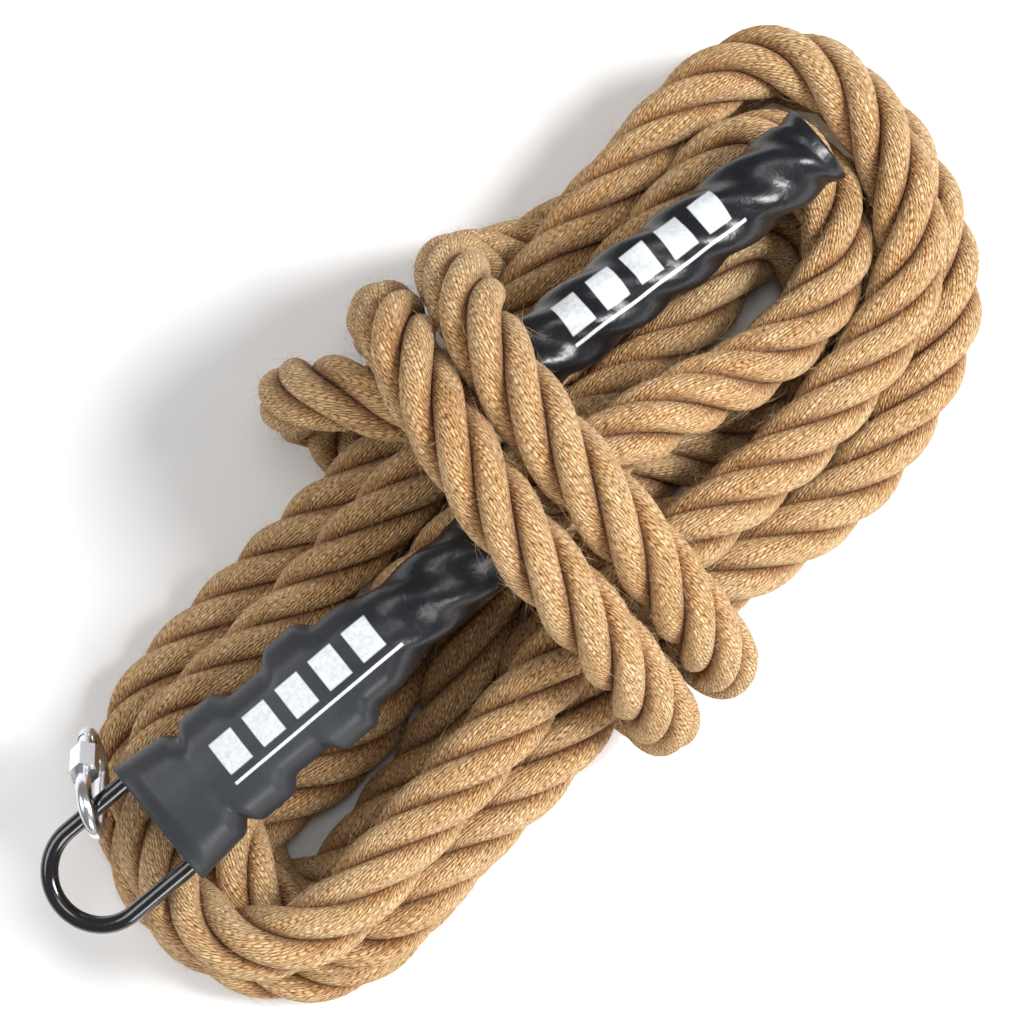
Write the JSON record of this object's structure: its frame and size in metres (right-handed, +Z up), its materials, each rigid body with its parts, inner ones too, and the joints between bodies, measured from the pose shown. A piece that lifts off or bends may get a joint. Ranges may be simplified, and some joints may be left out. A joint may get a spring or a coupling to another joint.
{
  "type": "climbing rope",
  "caption": "Thick laid fibre rope folded into a hank and tied round its middle, with a sleeved bracket, D-ring and quick link on one end and a sleeve on the other.",
  "frame": {"origin": "on the floor under the middle of the hank, in the flat underside of the wraps", "axes": "+X along the hank towards the free end of the rope, +Y towards the side where the tail is tucked under the wraps, +Z up"},
  "size_m": [0.6066, 0.2939, 0.1988],
  "materials": {
    "rope": "twisted jute yarn, matt, with loose fibres",
    "sleeve": "shrunk tube, satin to gloss",
    "ring": "gloss black enamel",
    "strap": "black enamel",
    "fastener": "zinc plated",
    "link": "bright zinc plate"
  },
  "bodies": {
    "rope": {"rope_hank": "rope", "rope_wraps": "rope", "rope_bight": "rope", "rope_lead_in": "rope", "ring_end_rope": "rope", "free_end_rope": "rope", "ring_end_sleeve": "sleeve", "free_end_sleeve": "sleeve", "d_ring": "ring", "left_strap": "strap", "right_strap": "strap", "through_bolts": "fastener", "bolt_nuts": "fastener"},
    "link": {"quick_link": "link"},
    "nut": {"link_nut": "link"}
  },
  "joints": [
    {"name": "link_swing", "type": "hinge", "parent": "rope", "child": "link", "pos_m": [-0.2523, 0.04798, 0.09822], "axis": [0.9847, -0.0913, 0.1483], "range_deg": [0, 185]},
    {"name": "nut_travel", "type": "slide", "parent": "link", "child": "nut", "axis": [0.311, 0.4842, -0.8178], "range_m": [-0.0034, 0.0113]}
  ]
}
